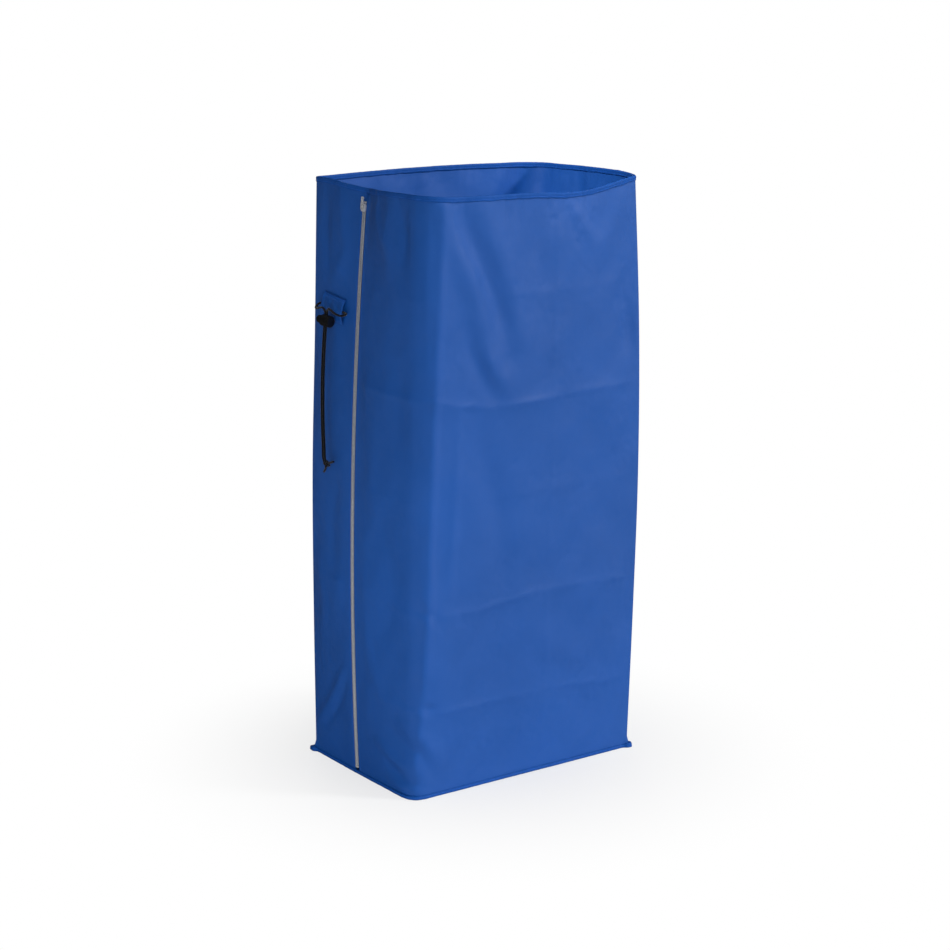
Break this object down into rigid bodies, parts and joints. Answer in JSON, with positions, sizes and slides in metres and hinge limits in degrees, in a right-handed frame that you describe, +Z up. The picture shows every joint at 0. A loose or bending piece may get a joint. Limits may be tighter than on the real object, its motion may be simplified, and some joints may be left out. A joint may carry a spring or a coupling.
{
  "type": "mail sack",
  "caption": "Tall open-topped coated-fabric sack with a flat rectangular base, bound mouth, full-height zip on one narrow side and a tie cord with a sliding cord lock.",
  "frame": {"origin": "middle of the rectangular base, on the surface the sack stands on", "axes": "+Z up, X along the wide sides, Y along the narrow sides; the wide front faces -Y and the zipped narrow side faces -X"},
  "size_m": [0.4931, 0.3397, 0.9445],
  "materials": {
    "coated_cloth": "royal blue coated nylon, soft satin",
    "binding": "royal blue folded binding, stitched",
    "zip_tape": "woven zip tape",
    "zip_coil": "grey nylon coil",
    "zip_metal": "die-cast, nickel satin",
    "cord": "black braided cord",
    "lock_plastic": "moulded black",
    "spring_steel": "bright wire"
  },
  "bodies": {
    "sack": {"front_panel": "coated_cloth", "back_panel": "coated_cloth", "rear_zip_panel": "coated_cloth", "base_panel": "coated_cloth", "zip_head_facing": "coated_cloth", "cord_keeper_patch": "coated_cloth", "foot_binding": "binding", "mouth_binding": "binding", "rear_seam_binding": "binding", "side_seam_binding": "binding", "zip_tape_front": "zip_tape", "zip_tape_rear": "zip_tape", "zip_coil_front": "zip_coil", "zip_coil_rear": "zip_coil", "zip_top_stop_front": "zip_metal", "zip_top_stop_rear": "zip_metal", "zip_bottom_stop": "zip_metal", "tie_cord_behind_patch": "cord", "tie_cord_left": "cord", "tie_cord_right": "cord", "cord_end_left": "cord", "cord_end_right": "cord", "tie_knot": "cord"},
    "slider": {"zip_slider": "zip_metal"},
    "pull_tab": {"zip_pull_tab": "zip_metal"},
    "cord_lock": {"cord_lock_barrel": "lock_plastic", "cord_lock_spring": "spring_steel"},
    "lock_button": {"cord_lock_button": "lock_plastic"}
  },
  "joints": [
    {"name": "zip_travel", "type": "hinge", "parent": "sack", "child": "slider", "pos_m": [6.41012, 0.011, 0.27218], "axis": [0, -1, 0], "range_deg": [0, 7.6]},
    {"name": "pull_tab_swing", "type": "hinge", "parent": "slider", "child": "pull_tab", "pos_m": [-0.19713, 0.011, 0.90565], "axis": [0, -1, 0], "range_deg": [0, 168]},
    {"name": "cord_lock_travel", "type": "hinge", "parent": "sack", "child": "cord_lock", "pos_m": [-0.0413, -1.00713, 0.61398], "axis": [-0.9844, -0.1736, 0.0297], "range_deg": [0, 11]},
    {"name": "lock_button_press", "type": "slide", "parent": "cord_lock", "child": "lock_button", "axis": [0.1697, -0.9801, -0.1027], "range_m": [0, 0.0035], "stiffness_N_per_m": 400, "springref_m": -0.005}
  ]
}
